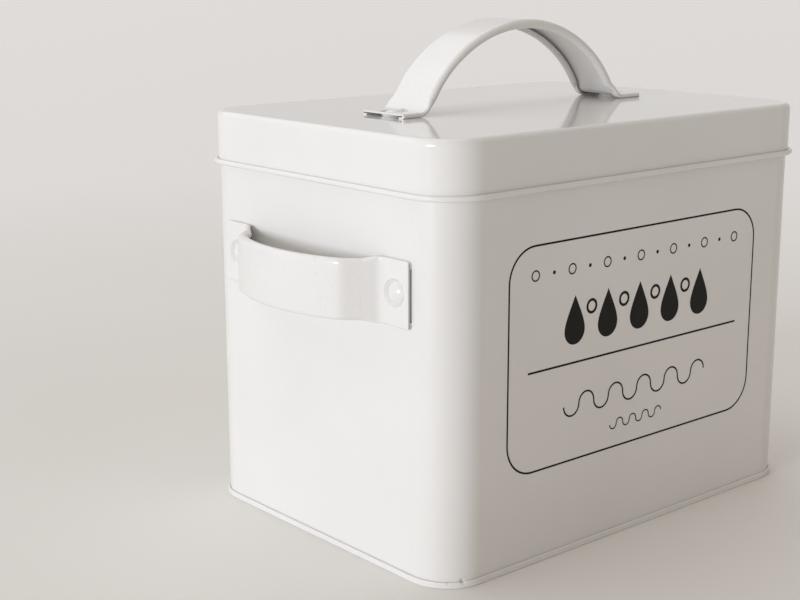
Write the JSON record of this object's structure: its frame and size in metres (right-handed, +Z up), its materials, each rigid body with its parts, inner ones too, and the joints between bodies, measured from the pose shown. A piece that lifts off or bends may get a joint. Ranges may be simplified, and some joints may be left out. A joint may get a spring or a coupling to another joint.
{
  "type": "laundry detergent tin",
  "caption": "Upright rounded-rectangle steel tin for washing powder, with a lift-off lid, an arched strap handle on the lid and a strap handle on each short side.",
  "frame": {"origin": "on the table, under the middle of the tin", "axes": "+X along the long side towards the right-hand side handle, -Y out of the printed front, +Z up"},
  "size_m": [0.294, 0.1826, 0.2384],
  "materials": {
    "body_coat": "gloss white powder coat",
    "lid_coat": "gloss white powder coat",
    "handle_coat": "gloss white powder coat",
    "rivet_coat": "gloss white paint over a domed rivet",
    "print_ink": "near-black screen print on the coat"
  },
  "bodies": {
    "container": {"body_wall": "body_coat", "base_panel": "body_coat", "side_handle_left": "handle_coat", "side_handle_right": "handle_coat", "side_rivet_left_front": "rivet_coat", "side_rivet_left_back": "rivet_coat", "side_rivet_right_front": "rivet_coat", "side_rivet_right_back": "rivet_coat"},
    "lid": {"lid": "lid_coat", "lid_handle": "handle_coat", "lid_rivet_left": "rivet_coat", "lid_rivet_right": "rivet_coat"}
  },
  "joints": [
    {"name": "lid_lift", "type": "slide", "parent": "container", "child": "lid", "axis": [0, 0, 1], "range_m": [0, 0.22]}
  ]
}
